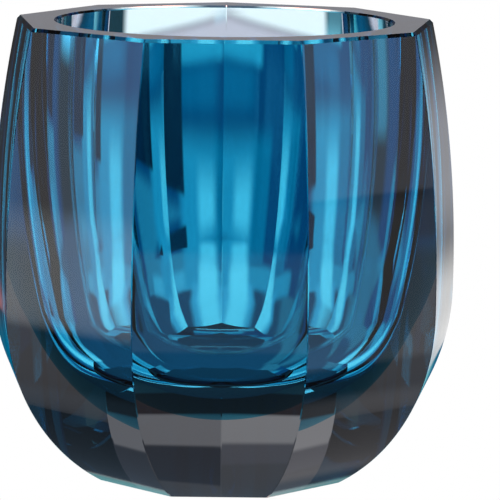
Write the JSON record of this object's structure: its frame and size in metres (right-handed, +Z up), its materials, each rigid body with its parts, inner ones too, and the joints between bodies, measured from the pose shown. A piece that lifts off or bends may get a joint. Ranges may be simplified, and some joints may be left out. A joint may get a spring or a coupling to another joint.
{
  "type": "vase",
  "caption": "Thick cut crystal vase: clear faceted barrel body with a flat foot, cased over a lining of blue glass with a round-bottomed cavity.",
  "frame": {"origin": "centre of the flat foot, on the vase's axis", "axes": "+Z up along the vase's axis, -Y towards the front, with one facet facing -Y"},
  "size_m": [0.172, 0.1693, 0.165],
  "materials": {
    "clear_crystal": "polished clear lead crystal, flat-cut facets with sharp arrises",
    "blue_glass": "polished transparent blue glass, dyed in the mass"
  },
  "bodies": {
    "root": {"crystal_casing": "clear_crystal", "blue_lining": "blue_glass"}
  },
  "joints": []
}
